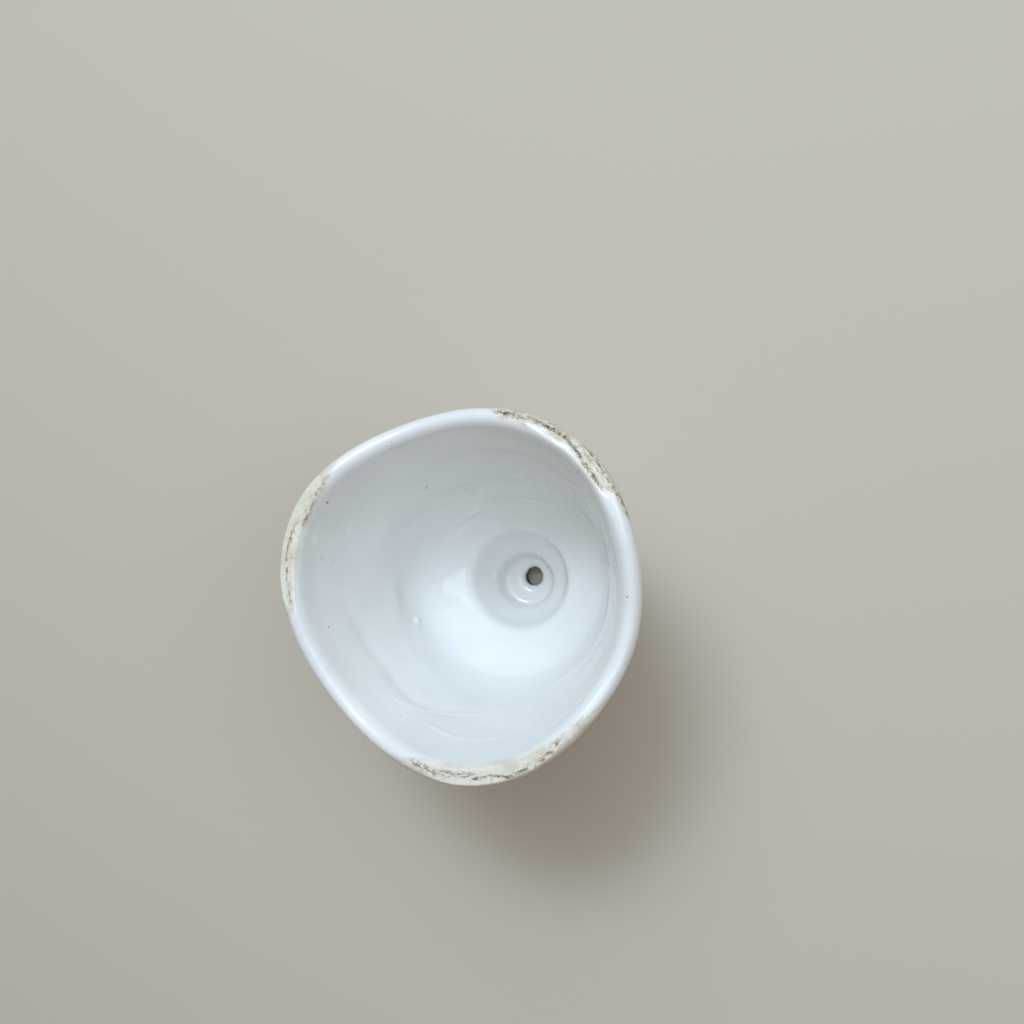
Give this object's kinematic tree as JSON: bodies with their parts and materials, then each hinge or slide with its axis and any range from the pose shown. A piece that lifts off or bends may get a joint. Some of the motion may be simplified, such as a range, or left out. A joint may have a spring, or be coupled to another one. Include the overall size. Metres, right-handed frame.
{
  "type": "ceramic funnel",
  "caption": "Small glazed ceramic bell funnel: a wide mouth on low feet with arches between, a rounded shoulder and a short vented neck. Holds up a pie crust and lets its steam out.",
  "frame": {"origin": "under the middle of the part's box, in the plane of the flat bare ring at the vent end; the bell's axis and the vent are 1 mm from it toward +Y, because a foot reaches further from them than the arch opposite", "axes": "+Z parallel to the bell's axis, out through the mouth; one foot points along -Y"},
  "size_m": [0.0684, 0.0682, 0.063],
  "materials": {
    "bare_clay": "matte cream earthenware, rubbed and lightly stained",
    "white_glaze": "glossy cool white glaze"
  },
  "bodies": {
    "root": {"clay_body": "bare_clay", "inside_glaze": "white_glaze", "outside_glaze": "white_glaze"}
  },
  "joints": []
}
